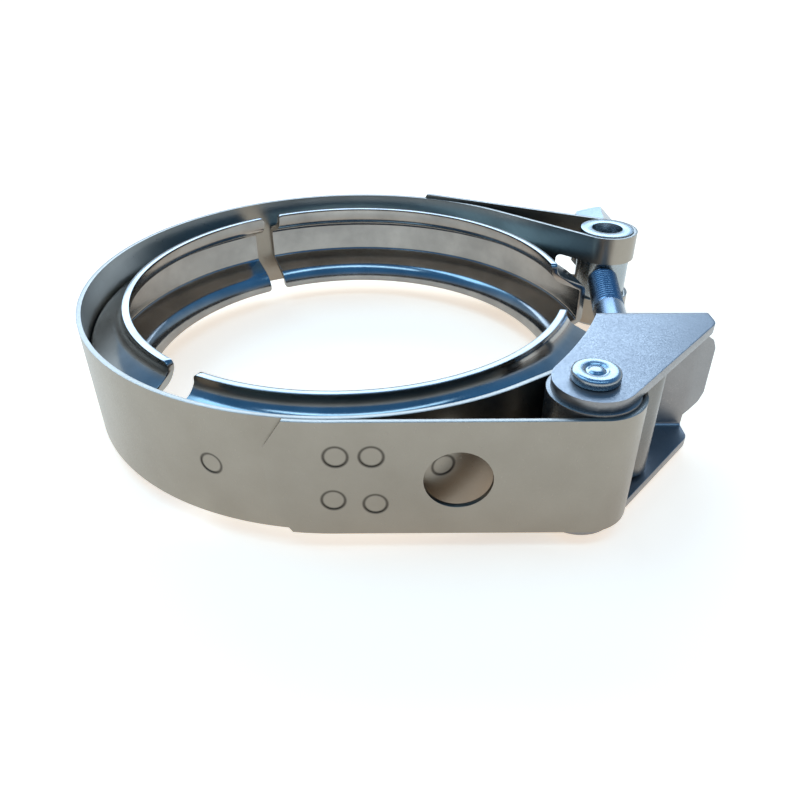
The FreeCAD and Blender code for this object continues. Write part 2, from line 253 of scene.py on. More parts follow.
def turned(name: str, profile: Sequence[Sequence[float]], base: Sequence[float],
           axis: Sequence[float] = (0, 0, 1), count: int = 96) -> bpy.types.Object:
    """Lathe work: a closed profile of (radius, height) carried round an axis.

    The surface is base + h axis + r (cos a e1 + sin a e2).

    Args:
        name: The object's name.
        profile: Radius and height of each corner, as a closed loop or from axis to axis.
        base: Point on the axis at height 0.
        axis: Direction of the height.
        count: Points round the circle.

    Returns:
        The object.
    """
    w, e1, e2 = axis_frame(axis)
    r, h = np.array(profile, float).T
    a = np.linspace(0, 2 * np.pi, count, endpoint=False)
    spoke = np.cos(a)[:, None, None] * e1 + np.sin(a)[:, None, None] * e2
    points = np.asarray(base) + spoke * r[None, :, None] + h[None, :, None] * w
    closed = r[0] > 0
    rows = np.concatenate([points, points[:1]])
    flat = rows.reshape(-1, 3)
    return mesh_object(name, flat, grid_faces(count + 1, len(r), closed))


def axis_frame(axis: Sequence[float]) -> tuple[np.ndarray, np.ndarray, np.ndarray]:
    """Unit axis and two unit vectors square to it, the first as near to +Z as can be.

    Args:
        axis: Any vector along the axis.

    Returns:
        The unit axis and the two vectors, each (3,).
    """
    w = np.asarray(axis, float) / np.linalg.norm(axis)
    hint = UP if abs(w[2]) < 0.9 else np.array([1.0, 0.0, 0.0])
    e1 = hint - w * (hint @ w)
    e1 /= np.linalg.norm(e1)
    return w, e1, np.cross(w, e1)


def wrapped(base: np.ndarray, along: np.ndarray, radius: np.ndarray, angle: np.ndarray) -> np.ndarray:
    """Grid of points base + t pull + r (cos a e1 + sin a e2) round the line of pull.

    Args:
        base: Point on the line.
        along: (rows,) distances from it.
        radius: (rows, cols) radii.
        angle: (cols,) angles in radians.

    Returns:
        (rows, cols, 3) points.
    """
    _, e1, e2 = axis_frame(PULL)
    spoke = np.cos(angle)[:, None] * e1 + np.sin(angle)[:, None] * e2
    return base + along[:, None, None] * PULL + radius[..., None] * spoke[None]


def prism(name: str, outline: np.ndarray, depth: Sequence[float]) -> bpy.types.Object:
    """Straight prism over a flat outline.

    Args:
        name: The object's name.
        outline: (n, 3) corners.
        depth: Vector from the outline to the far face.

    Returns:
        The object.
    """
    return tube(name, np.stack([outline, outline + np.asarray(depth, float)]))


def circle(centre: Sequence[float], axis: Sequence[float], radius: float, count: int = 48) -> np.ndarray:
    """Points c + r (cos a e1 + sin a e2) round an axis.

    Args:
        centre: Centre of the circle.
        axis: Normal of its plane.
        radius: Its radius.
        count: Number of points.

    Returns:
        (count, 3) points.
    """
    _, e1, e2 = axis_frame(axis)
    a = np.linspace(0, 2 * np.pi, count, endpoint=False)[:, None]
    return np.asarray(centre) + radius * (np.cos(a) * e1 + np.sin(a) * e2)


def apply_modifiers(piece: bpy.types.Object) -> None:
    """Replace a piece's mesh by what its modifiers make of it.

    Args:
        piece: The object.
    """
    graph = bpy.context.evaluated_depsgraph_get()
    done = bpy.data.meshes.new_from_object(piece.evaluated_get(graph))
    piece.modifiers.clear()
    old, piece.data = piece.data, done
    bpy.data.meshes.remove(old)


def cut(piece: bpy.types.Object, cutters: Sequence[bpy.types.Object]) -> None:
    """Take the cutters out of a piece and delete them.

    Args:
        piece: The object.
        cutters: Closed solids.
    """
    for cutter in cutters:
        boolean = piece.modifiers.new("cut", "BOOLEAN")
        boolean.operation = "DIFFERENCE"
        boolean.solver = "EXACT"
        boolean.object = cutter
    apply_modifiers(piece)
    for cutter in cutters:
        bpy.data.meshes.remove(cutter.data)


def soften(piece: bpy.types.Object, width: float, angle: float = 35.0) -> None:
    """Break a piece's sharp edges with a small round and shade the rest smooth.

    Args:
        piece: The object.
        width: Size of the round in millimetres.
        angle: Edges sharper than this many degrees are rounded.
    """
    bevel = piece.modifiers.new("edge", "BEVEL")
    bevel.width = width * MM
    bevel.segments = 2
    bevel.limit_method = "ANGLE"
    bevel.angle_limit = math.radians(angle)
    bevel.harden_normals = False
    apply_modifiers(piece)
    smooth(piece, angle)


def smooth(piece: bpy.types.Object, angle: float = 35.0) -> None:
    """Shade a piece smooth, except over sharp edges.

    Args:
        piece: The object.
        angle: Edges sharper than this many degrees stay sharp.
    """
    piece.data.shade_smooth()
    piece.data.set_sharp_from_angle(angle=math.radians(angle))


def hold_normals(piece: bpy.types.Object, true_normals: Callable[[np.ndarray], np.ndarray],
                 angle: float = 20.0) -> None:
    """Give the corners of a piece's broad faces the normals of the surface they came from.

    A corner takes the true normal there, turned to the face's side, where the two lie within the
    angle of each other. Elsewhere it keeps its own, so cut edges stay crisp.

    Args:
        piece: The object.
        true_normals: From points in millimetres to unit normals, either side.
        angle: Widest gap in degrees between a face and the surface.
    """
    mesh = piece.data
    corners, faces = len(mesh.loops), len(mesh.polygons)
    vertex = np.empty(corners, int)
    mesh.loops.foreach_get("vertex_index", vertex)
    points = np.empty(len(mesh.vertices) * 3)
    mesh.vertices.foreach_get("co", points)
    flat = np.empty(faces * 3)
    mesh.polygons.foreach_get("normal", flat)
    sizes = np.empty(faces, int)
    mesh.polygons.foreach_get("loop_total", sizes)
    own = np.empty(corners * 3)
    mesh.corner_normals.foreach_get("vector", own)
    own = own.reshape(-1, 3)
    face = np.repeat(flat.reshape(-1, 3), sizes, axis=0)
    true = true_normals(points.reshape(-1, 3) / MM)[vertex]
    lean = (face * true).sum(1)
    near = np.abs(lean) > math.cos(math.radians(angle))
    mixed = np.where(near[:, None], true * np.sign(lean)[:, None], own)
    mesh.normals_split_custom_set(mixed.tolist())


# ---- finishes -------------------------------------------------------------------
def linear(hex_colour: str) -> tuple[float, float, float, float]:
    """An sRGB hex value as linear RGBA.

    Args:
        hex_colour: Such as "#9d9386".

    Returns:
        Red, green, blue and 1.
    """
    srgb = np.array([int(hex_colour[i:i + 2], 16) / 255 for i in (1, 3, 5)])
    value = np.where(srgb <= 0.04045, srgb / 12.92, ((srgb + 0.055) / 1.055) ** 2.4)
    return (*value.tolist(), 1.0)


def fresh_tree(owner: bpy.types.Material | bpy.types.World) -> bpy.types.NodeTree:
    """Switch nodes on and empty them.

    Args:
        owner: A material or a world.

    Returns:
        Its node tree.
    """
    owner.use_nodes = True
    owner.node_tree.nodes.clear()
    return owner.node_tree


def add(tree: bpy.types.NodeTree, kind: str, inputs: dict | None = None, **settings) -> bpy.types.Node:
    """Add a node, set its attributes and fill its inputs with values or links.

    Args:
        tree: The node tree.
        kind: The node's type.
        inputs: Socket name or number to a value or an output socket.
        **settings: Attributes of the node.

    Returns:
        The node.
    """
    made = tree.nodes.new(kind)
    for name, value in settings.items():
        setattr(made, name, value)
    for key, value in (inputs or {}).items():
        if isinstance(value, bpy.types.NodeSocket):
            tree.links.new(value, made.inputs[key])
        else:
            made.inputs[key].default_value = value
    return made


class Grain(Enum):
    """Which way a finish's marks run, as what it does to the place on X, Y and Z."""

    EVEN = (1.0, 1.0, 1.0)          # tumbled, turned or plated: no direction shows
    ROUND_AXIS = (0.02, 0.02, 1.0)  # rolled: drawn out round the ring


@dataclass(frozen=True)
class SteelFinish:
    """A steel surface: its colours, gloss and the size of its marks."""

    name: str
    colour: str
    shade: str
    roughness: float
    grain: Grain = Grain.EVEN
    speck_mm: float = 0.35        # size of the fine specks, drawn coarse enough to show
    speck: float = 0.10           # how much they change the roughness
    cloud_mm: float = 14.0        # size of the soft patches between colour and shade
    bump_mm: float = 0.004
    line_mm: float = 0.25         # spacing of rolling lines
    lines: float = 0.0            # their share of the bump's height
    tint: str = "#3a342e"         # oxide round a spot weld
    tint_mm: tuple[float, float] = (0.10, 0.42)  # from the print's edge: full tint, and its end
    tint_share: float = 0.78

    def build(self, welds: Sequence[np.ndarray] = ()) -> bpy.types.Material:
        """Make the material.

        Args:
            welds: Centres of spot welds in millimetres, each ringed with heat tint.

        Returns:
            The material.
        """
        material = bpy.data.materials.new(self.name)
        tree = fresh_tree(material)
        place = add(tree, "ShaderNodeTexCoord").outputs["Object"]
        specks = add(tree, "ShaderNodeTexNoise", {"Vector": place, "Scale": 1 / (self.speck_mm * MM),
                                                  "Detail": 3.0, "Roughness": 0.6})
        clouds = add(tree, "ShaderNodeTexNoise", {"Vector": place, "Scale": 1 / (self.cloud_mm * MM),
                                                  "Detail": 4.0, "Roughness": 0.55})
        tone = add(tree, "ShaderNodeMapRange", {"Value": clouds.outputs["Fac"], "From Min": 0.3,
                                                "From Max": 0.7})
        base = add(tree, "ShaderNodeMix", {0: tone.outputs[0], 6: linear(self.colour),
                                           7: linear(self.shade)}, data_type="RGBA")
        colour = base.outputs[2]
        height = specks.outputs["Fac"]
        if self.lines:
            height = self._lined(tree, place, height)
        rough = add(tree, "ShaderNodeMapRange", {"Value": specks.outputs["Fac"], "From Min": 0.25,
                                                 "From Max": 0.75, "To Min": self.roughness - self.speck,
                                                 "To Max": self.roughness + self.speck})
        if len(welds):
            colour = self._tinted(tree, place, colour, welds)
        bump = add(tree, "ShaderNodeBump", {"Height": height, "Distance": self.bump_mm * MM,
                                            "Strength": 1.0})
        shader = add(tree, "ShaderNodeBsdfPrincipled", {"Base Color": colour, "Metallic": 1.0,
                                                        "Roughness": rough.outputs[0],
                                                        "Normal": bump.outputs[0]})
        add(tree, "ShaderNodeOutputMaterial", {"Surface": shader.outputs[0]})
        return material

    def _lined(self, tree: bpy.types.NodeTree, place: bpy.types.NodeSocket,
               height: bpy.types.NodeSocket) -> bpy.types.NodeSocket:
        """Add long marks to the height: noise drawn out along the direction of working.

        Args:
            tree: The material's tree.
            place: Object coordinates.
            height: Height of the specks.

        Returns:
            The two heights mixed.
        """
        flat = add(tree, "ShaderNodeVectorMath", {0: place, 1: self.grain.value},
                   operation="MULTIPLY").outputs[0]
        marks = add(tree, "ShaderNodeTexNoise", {"Vector": flat, "Scale": 1 / (self.line_mm * MM),
                                                 "Detail": 2.0})
        return add(tree, "ShaderNodeMix", {0: self.lines, 2: height, 3: marks.outputs["Fac"]}).outputs[0]

    def _tinted(self, tree: bpy.types.NodeTree, place: bpy.types.NodeSocket,
                colour: bpy.types.NodeSocket, welds: Sequence[np.ndarray]) -> bpy.types.NodeSocket:
        """Darken a thin ring round each weld: the least distance to a weld's centre drives it.

        Args:
            tree: The material's tree.
            place: Object coordinates.
            colour: The metal's colour.
            welds: Centres of the welds in millimetres.

        Returns:
            The tinted colour.
        """
        nearest = None
        for weld in welds:
            away = add(tree, "ShaderNodeVectorMath", {0: place, 1: (weld * MM).tolist()},
                       operation="DISTANCE").outputs["Value"]
            nearest = away if nearest is None else add(
                tree, "ShaderNodeMath", {0: nearest, 1: away}, operation="MINIMUM").outputs[0]
        off = add(tree, "ShaderNodeMath", {0: nearest, 1: SPOT.radius * MM}, operation="SUBTRACT")
        near = add(tree, "ShaderNodeMath", {0: off.outputs[0]}, operation="ABSOLUTE")
        full, end = self.tint_mm
        ring = add(tree, "ShaderNodeMapRange", {"Value": near.outputs[0], "From Min": full * MM,
                                                "From Max": end * MM, "To Min": self.tint_share,
                                                "To Max": 0.0})
        return add(tree, "ShaderNodeMix", {0: ring.outputs[0], 6: colour, 7: linear(self.tint)},
                   data_type="RGBA").outputs[2]


# cold rolled stainless strip, satin from the rolls, with lines along its length
STRAP = SteelFinish("satin_cold_rolled_strip", "#9d9386", "#948a7d", 0.33, Grain.ROUND_AXIS,
                    speck=0.07, lines=0.35)
# stainless sheet roll formed into a channel, brighter than the strip
CHANNEL = SteelFinish("rolled_stainless_channel", "#a39e98", "#8c8883", 0.17, Grain.ROUND_AXIS,
                      speck=0.04, cloud_mm=9.0, lines=0.5, bump_mm=0.003)
# carbon steel plate, pressed and tumbled: fine bright specks
PLATE = SteelFinish("tumbled_steel_plate", "#989491", "#8e8a88", 0.40, speck_mm=0.28, speck=0.15,
                    bump_mm=0.012)
# drawn steel, bright, headed or drilled
BRIGHT = SteelFinish("bright_riveted_steel", "#a2a6a6", "#979b9c", 0.27, speck=0.05)
# bar turned to size and left bare
TURNED = SteelFinish("turned_steel", "#87827c", "#7b7772", 0.32)
# blue passivated zinc on a rolled shank
BOLT = SteelFinish("plated_bolt_steel", "#74808c", "#7f8b97", 0.28, speck=0.06)
# clear zinc on hexagon bar
NUT = SteelFinish("plated_nut_steel", "#9fa3a6", "#92979b", 0.26, speck=0.05)


def dress(piece: bpy.types.Object, material: bpy.types.Material, body: str, slot: str, *nodes: str) -> None:
    """Give a piece its material and body, and hide the CAD nodes that it stands for.

    Args:
        piece: The object.
        material: Its finish.
        body: The body it moves with.
        slot: The record's material slot; not used.
        *nodes: CAD nodes it replaces.
    """
    piece.data.materials.clear()
    piece.data.materials.append(material)
    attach(piece, body)
    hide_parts(*nodes)
    log.info("%s: %d faces on %s", piece.name, len(piece.data.polygons), body)


# ---- sizes shared by several pieces ------------------------------------------------
@dataclass(frozen=True)
class SpotWeld:
    """Print of a welding electrode."""

    radius: float = 2.1
    depth: float = 0.12
    reach: float = 2.0       # length of the tool; at 57.2 degrees it also bites into the rear tongue


SPOT = SpotWeld()
PIVOT = np.array([46.2, -52.6])
TRUNNION = np.array([68.7, 29.2])
TRUNNION_R = 7.0
BAR = np.array([58.1, -42.3])
PULL = np.append((TRUNNION - BAR) / np.linalg.norm(TRUNNION - BAR), 0.0)


def at_height(plan: Sequence[float], z: float = 0.0) -> np.ndarray:
    """A plan point lifted to a height.

    Args:
        plan: X and Y.
        z: The height.

    Returns:
        The point, (3,).
    """
    return np.array([plan[0], plan[1], z])


# ---- the strip --------------------------------------------------------------------
@dataclass
class Strip:
    """The band: one strip folded back into a loop at each end."""

    outer_r: float = 61.0
    thick: float = 1.0
    width: float = 25.0
    fold_gap: float = 0.05
    front_end: float = -101.0
    front_corner: float = -97.4
    rear_end: float = 73.6
    rear_corner: float = 70.3
    chamfer: float = 6.0
    rear_rise: float = 1.0
    slot_half: float = 5.3
    slot_corner_r: float = 1.5
    inner_slot_x: float = 55.8
    outer_slot_x: float = 58.4
    slot_split_y: float = 35.0   # lies between the two legs where the slots end
    slot_far: tuple[float, float] = (90.0, 60.0)  # past the loop in X and in Y
    hole_x: float = 22.2
    hole_r: float = 6.2
    punch_from: float = 1.0      # the hole's punch starts this far outside the tongue
    punch_length: float = 2.5
    chord: float = 0.8           # longest straight stretch on an arc
    edge: float = 0.14
    front_welds: Sequence[tuple[float, float]] = ((0.8, 5.3), (7.0, 5.3), (0.0, -4.4), (7.5, -5.3))
    rear_welds: Sequence[tuple[float, float]] = ((69.3, 5.0), (63.3, 5.0), (69.3, -5.0), (63.3, -5.0))
    ring_welds: Sequence[float] = (-111.5, -71.1, 57.2, 102.6, 141.0, 176.0, 205.0)
    weld_rise: float = 0.9       # share of the rise that the rear fold has at its welds
    tongue_outer_r: float = field(init=False)

    def __post_init__(self) -> None:
        """Work out the tongues' outer radius."""
        self.tongue_outer_r = self.outer_r + self.fold_gap + self.thick

    def path(self) -> tuple[list[Line | Arc], float]:
        """Lay out the strip's middle in plan.

        Returns:
            The path, and the distance along it where the rear loop ends.
        """
        ring = self.outer_r - self.thick / 2
        tongue = self.tongue_outer_r - self.thick / 2
        front_loop = tongue + PIVOT[1]
        rear_loop = TRUNNION_R + self.fold_gap + self.thick / 2
        leave = self._tangent(ring, PIVOT, front_loop, 1, -1)
        near = self._tangent(ring, TRUNNION, rear_loop, 1, 1)
        far = self._tangent(tongue, TRUNNION, rear_loop, -1, 1)
        origin = np.zeros(2)
        path = [
            Arc(origin, tongue, self.front_end, -90),
            Line(polar(tongue, -90), np.array([PIVOT[0], -tongue])),
            Arc(PIVOT, front_loop, -90, leave + 180),
            Line(polar(front_loop, leave + 180, PIVOT), polar(ring, leave)),
            Arc(origin, ring, leave, near - 360),
            Line(polar(ring, near), polar(rear_loop, near - 180, TRUNNION)),
            Arc(TRUNNION, rear_loop, near - 180, far),
            Line(polar(rear_loop, far, TRUNNION), polar(tongue, far)),
            Arc(origin, tongue, far, self.rear_end),
        ]
        return path, float(sample_path(path[:7], self.chord)[2][-1])

    @staticmethod
    def _tangent(ring_r: float, centre: np.ndarray, loop_r: float, sign: int, side: int) -> float:
        """Angle at which a straight leg leaves the ring: cos(spread) = (R +- r) / distance.

        Args:
            ring_r: Radius of the ring's circle.
            centre: Centre of the loop.
            loop_r: Radius of the loop.
            sign: 1 where the leg crosses between the circles, -1 where it runs outside both.
            side: Which of the two mirror answers.

        Returns:
            The angle in degrees.
        """
        towards = math.degrees(math.atan2(centre[1], centre[0]))
        spread = math.degrees(math.acos((ring_r + sign * loop_r) / np.linalg.norm(centre)))
        return towards + side * spread

    def surface(self) -> bpy.types.Object:
        """Sweep the strip's section along its plan.

        A point is path(s) + n(t) normal + (h(s) z(t) + lift(s)) up: h narrows the strip over its
        cut corners, and lift lets the rear fold climb as it does when it isn't quite square.

        Returns:
            The strip before it is punched.
        """
        path, loop_end = self.path()
        points, normals, run = sample_path(path, self.chord)
        ring = self.tongue_outer_r - self.thick / 2
        reach = (math.radians(abs(self.front_end - self.front_corner)) * ring,
                 math.radians(abs(self.rear_end - self.rear_corner)) * ring)
        stops = np.array([0.0, reach[0], run[-1] - reach[1], run[-1]])
        full = self.width / 2
        run, points, normals = self._with_stops(run, points, normals, stops[1:3])
        half = np.interp(run, stops, [full - self.chamfer, full, full, full - self.chamfer])
        lift = self.rear_rise * np.clip((run - loop_end) / (run[-1] - loop_end), 0, 1)
        n = self.thick / 2 * np.array([1, 1, -1, -1])
        z = np.array([-1, 1, 1, -1])
        plan = points[:, None, :] + normals[:, None, :] * n[None, :, None]
        height = half[:, None] * z[None, :] + lift[:, None]
        return tube("band_strip", np.concatenate([plan, height[..., None]], -1))

    @staticmethod
    def _with_stops(run: np.ndarray, points: np.ndarray, normals: np.ndarray,
                    stops: np.ndarray) -> tuple[np.ndarray, np.ndarray, np.ndarray]:
        """Add samples at given distances, so that a change of width starts sharply.

        Args:
            run: Distances of the samples.
            points: Their places.
            normals: Their normals.
            stops: Distances to add.

        Returns:
            Distances, places and normals.
        """
        every = np.unique(np.concatenate([run, stops]))
        mix = [np.stack([np.interp(every, run, v[:, i]) for i in (0, 1)], -1) for v in (points, normals)]
        return every, mix[0], mix[1] / np.linalg.norm(mix[1], axis=1, keepdims=True)

    def welds(self) -> list[tuple[np.ndarray, np.ndarray]]:
        """Place the spot welds.

        Returns:
            Outward direction and centre of each on the outside.
        """
        found = [(np.array([0.0, -1.0, 0.0]), np.array([x, -self.tongue_outer_r, z]))
                 for x, z in self.front_welds]
        rise = self.weld_rise * self.rear_rise
        for r, a, z in ([(self.tongue_outer_r, a, z + rise) for a, z in self.rear_welds]
                        + [(self.outer_r, a, 0.0) for a in self.ring_welds]):
            out = at_height(polar(1, a))
            found.append((out, at_height(polar(r, a), z)))
        return found

    def build(self) -> None:
        """Make the strip, punch its slot and hole, press its welds and dress it."""
        piece = self.surface()
        cutters = []
        far_x, far_y = self.slot_far
        for end_x, y0, y1 in ((self.inner_slot_x, 0.0, self.slot_split_y),
                              (self.outer_slot_x, self.slot_split_y, far_y)):
            corners = [(far_x, self.slot_half), (end_x, self.slot_half), (end_x, -self.slot_half),
                       (far_x, -self.slot_half)]
            line = sample_path(rounded(corners, (self.slot_corner_r,) * 2), self.chord / 2)[0]
            outline = np.stack([line[:, 0], np.full(len(line), y0), line[:, 1]], -1)
            cutters.append(prism("slot", outline, (0, y1 - y0, 0)))
        away = np.array([0.0, 1.0, 0.0])
        start = (self.hole_x, -self.tongue_outer_r - self.punch_from, 0)
        rim = circle(start, away, self.hole_r, count=72)
        cutters.append(prism("hole", rim, away * self.punch_length))
        for out, centre in self.welds():
            base = circle(centre - out * SPOT.depth, out, SPOT.radius)
            cutters.append(prism("print", base, out * SPOT.reach))
        cut(piece, cutters)
        soften(piece, self.edge)
        hold_normals(piece, self.normals_at)
        dress(piece, STRAP.build([centre for _, centre in self.welds()]), "band", "strap", "band")

    def normals_at(self, points: np.ndarray) -> np.ndarray:
        """Normal of the strip's plan at the place on it nearest to each point.

        Args:
            points: (n, 3) in millimetres.

        Returns:
            (n, 3) unit normals.
        """
        samples, batch = 4000, 2000
        path, normals, run = sample_path(self.path()[0], self.chord)
        even = np.linspace(0, run[-1], samples)
        plan = np.stack([np.interp(even, run, path[:, i]) for i in (0, 1)], -1)
        side = np.stack([np.interp(even, run, normals[:, i]) for i in (0, 1)], -1)
        found = np.empty(len(points), int)
        for part in np.array_split(np.arange(len(points)), max(1, len(points) // batch)):
            apart = points[part, None, :2] - plan[None]
            found[part] = (apart ** 2).sum(-1).argmin(1)
        out = np.concatenate([side[found], np.zeros((len(points), 1))], 1)
        return out / np.linalg.norm(out, axis=1, keepdims=True)


# ---- retainers ---------------------------------------------------------------------
@dataclass
class Retainer:
    """A channel segment that grips the flanges."""

    name: str
    start: float                 # degrees
    end: float                   # degrees
    bore_r: float = 50.3
    ring_r: float = 60.0
    thick: float = 1.5
    lip_z: float = 11.4
    lip_foot_z: float = 8.0
    web_z: float = 4.5
    lip_bend: float = 4.3
    web_bend: float = 1.6
    corner: float = 1.0
    straight_z: float = 9.0      # a lip's corner is drawn down from here
    chord: float = 0.9           # longest straight stretch round the ring
    bend_chord: float = 0.35     # and in a bend
    corner_rows: int = 6
    edge: float = 0.22

    def section(self) -> np.ndarray:
        """Draw the channel: the sheet's middle line moved half a thickness to each side.

        Returns:
            Closed outline in radius and height, (n, 2).
        """
        lip, web = self.bore_r + self.thick / 2, self.ring_r - self.thick / 2
        upper = [(lip, self.lip_z), (lip, self.lip_foot_z), (web, self.web_z)]
        corners = upper + [(r, -z) for r, z in reversed(upper)]
        radii = (self.lip_bend, self.web_bend, self.web_bend, self.lip_bend)
        points, normals, _ = sample_path(rounded(corners, radii), self.bend_chord)
        side = normals * self.thick / 2
        return np.concatenate([points + side, (points - side)[::-1]])

    def build(self) -> None:
        """Carry the section round the axis, (r cos a, r sin a, z), and dress it.

        The lips' corners come down along a quarter circle at each cut end.
        """
        section = self.section()
        turn = math.radians(self.end - self.start)
        even = np.linspace(0, turn, int(abs(turn) * self.ring_r / self.chord))
        near = self.corner / self.bore_r * (1 - np.cos(np.linspace(0, np.pi / 2, self.corner_rows)))
        inner = even[(even > near[-1]) & (even < turn - near[-1])]
        a = np.unique(np.concatenate([inner, near, turn - near]))
        inset = np.clip(np.minimum(a, turn - a) * self.bore_r, 0, self.corner)
        top = self.lip_z - self.corner + np.sqrt(self.corner ** 2 - (self.corner - inset) ** 2)
        r, z = section.T
        a = a[:, None] + math.radians(self.start)
        past = np.clip(np.abs(z) - self.straight_z, 0, None)
        share = (top - self.straight_z) / (self.lip_z - self.straight_z)
        height = np.sign(z) * (np.minimum(np.abs(z), self.straight_z) + past * share[:, None])
        grid = np.stack([r * np.cos(a), r * np.sin(a), height], -1)
        piece = tube(self.name.replace("retainer", "channel"), grid)
        soften(piece, self.edge)
        dress(piece, channel_material(), "band", "channel", self.name)


RETAINERS = (
    Retainer("retainer_front", -121.2, -19.5),
    Retainer("retainer_left", 122.4, 230.6),
    Retainer("retainer_rear", 8.0, 117.2),
)


@cache
def channel_material() -> bpy.types.Material:
    """Make the retainers' shared finish, once.

    Returns:
        The material.
    """
    return CHANNEL.build()


# ---- hook and pivot ---------------------------------------------------------------
@dataclass
class Hook:
    """Pressed channel with two ears on the pivot, a slotted web and a finger tab."""

    thick: float = 2.0
    half: float = 15.0
    ear_r: float = 7.6
    slope: float = 48.0
    left_angle: float = 143.0
    left_mid: tuple[float, float] = (46.6, -38.4)
    left_x: float = 53.2
    tip_x: float = 75.2
    web_y: float = -25.0
    bend: float = 2.6
    tip_r: float = 3.0
    slot_half: float = 4.4
    slot_end_x: float = 68.5
    mouth_half: float = 6.5
    mouth_x: float = 56.0
    slot_past: float = 3.0       # the slot's punch reaches this far out of the mouth
    punch: tuple[float, float] = (-3.0, 5.0)  # its start from the web's top, and its length
    tab_x: float = 74.6
    tab_slope: float = 25.0
    tab_bend: float = 3.0
    tab_outline: Sequence[tuple[float, float]] = ((5.6, 4.5), (7.8, 3.4), (10.2, 0.0))  # z and length
    tip_chord: float = 0.2
    first_row: float = 0.02      # radians up the round end from its lowest point
    rows: tuple[int, int, int, int] = (24, 30, 8, 26)  # round end, ear, bend and half the web
    columns: int = 56
    edge: float = 0.28

    def _left(self, y: np.ndarray) -> np.ndarray:
        """X of the concave edge and, below it, of the round end's left side.

        Args:
            y: Places along the ear.

        Returns:
            X at each.
        """
        low = polar(self.ear_r, self.left_angle, PIVOT)
        mid = np.array(self.left_mid)
        high = np.array([self.left_x, self.web_y])
        curve = np.polyfit([low[1], mid[1], high[1]], [low[0], mid[0], high[0]], 2)
        inside = np.clip(self.ear_r ** 2 - (y - PIVOT[1]) ** 2, 0, None)
        return np.where(y > low[1], np.polyval(curve, y), PIVOT[0] - np.sqrt(inside))

    def _right(self, y: np.ndarray) -> np.ndarray:
        """X of the long sloping edge with its rounded tip and, below it, of the round end.

        Args:
            y: Places along the ear.

        Returns:
            X at each.
        """
        foot = polar(self.ear_r, self.slope - 90, PIVOT)
        rise = (self.tip_x - foot[0]) * math.tan(math.radians(self.slope))
        corners = [foot, (self.tip_x, foot[1] + rise), (self.tip_x, self.web_y)]
        line = sample_path(rounded(corners, (self.tip_r,)), self.tip_chord)[0]
        inside = np.clip(self.ear_r ** 2 - (y - PIVOT[1]) ** 2, 0, None)
        return np.where(y > foot[1], np.interp(y, line[:, 1], line[:, 0]), PIVOT[0] + np.sqrt(inside))

    def surface(self) -> bpy.types.Object:
        """Middle surface of the sheet.

        Across the U it follows a path in Y and Z: ear, bend, web, bend, ear. Along each row x
        runs between the two edges, and past the tab's bend it is wrapped round that bend.

        Returns:
            The sheet's middle, without thickness.
        """
        mid_z, mid_y = self.half - self.thick / 2, self.web_y - self.thick / 2
        r = self.bend - self.thick / 2
        on_end, on_ear, on_bend, on_half = self.rows
        end_y = PIVOT[1] - self.ear_r * np.cos(np.linspace(self.first_row, np.pi / 2, on_end))
        ear_y = np.concatenate([end_y, np.linspace(PIVOT[1], mid_y - r, on_ear)[1:]])
        a = np.linspace(0, np.pi / 2, on_bend)[1:]
        web = np.linspace(-(mid_z - r), 0, on_half)[1:]
        y = np.concatenate([ear_y, mid_y - r + r * np.sin(a), np.full(len(web), mid_y)])
        z = np.concatenate([np.full(len(ear_y), -mid_z), -(mid_z - r) - r * np.cos(a), web])
        y, z = np.concatenate([y, y[-2::-1]]), np.concatenate([z, -z[-2::-1]])
        left, right = self._left(y), self._right(y)
        on_web = y > mid_y - 1e-9
        tip = self.tip_x + np.interp(np.abs(z), *np.transpose(self.tab_outline))
        right = np.where(on_web, tip, right)
        u = np.linspace(0, 1, self.columns)[None, :]
        x = left[:, None] + (right - left)[:, None] * u
        angle = np.clip((x - self.tab_x) / self.tab_bend, 0, math.radians(self.tab_slope)) * on_web[:, None]
        bend_end = self.tab_x + self.tab_bend * math.radians(self.tab_slope)
        past = np.clip(x - bend_end, 0, None) * on_web[:, None]
        bent_x = self.tab_x + self.tab_bend * np.sin(angle) + past * np.cos(angle)
        bent_y = self.tab_bend * (1 - np.cos(angle)) + past * np.sin(angle)
        grid = np.stack([np.where(angle > 0, bent_x, x), y[:, None] + bent_y,
                         np.broadcast_to(z[:, None], x.shape)], -1)
        rows, cols, _ = grid.shape
        return mesh_object("hook_plate", grid.reshape(-1, 3), grid_faces(rows, cols, False))

    def build(self) -> None:
        """Thicken the surface, open the web's slot towards the ring and dress it."""
        piece = self.surface()
        wall = piece.modifiers.new("sheet", "SOLIDIFY")
        wall.thickness = self.thick * MM
        wall.offset = 0
        apply_modifiers(piece)
        end = self.slot_end_x - self.slot_half
        mouth = self.mouth_x + self.mouth_half - self.slot_half
        half_round = np.radians(np.linspace(-90, 90, 25))
        arc = np.stack([end + self.slot_half * np.cos(half_round),
                        self.slot_half * np.sin(half_round)], -1)
        flare = np.array([(mouth, self.slot_half), (self.mouth_x, self.mouth_half),
                          (self.left_x - self.slot_past, self.mouth_half)])
        line = np.concatenate([arc, flare, flare[::-1] * (1, -1)])
        start, length = self.punch
        outline = np.stack([line[:, 0], np.full(len(line), self.web_y + start), line[:, 1]], -1)
        cut(piece, [prism("slot", outline, (0, length, 0))])
        soften(piece, self.edge)
        dress(piece, PLATE.build(), "hook", "hook_plate", "hook")


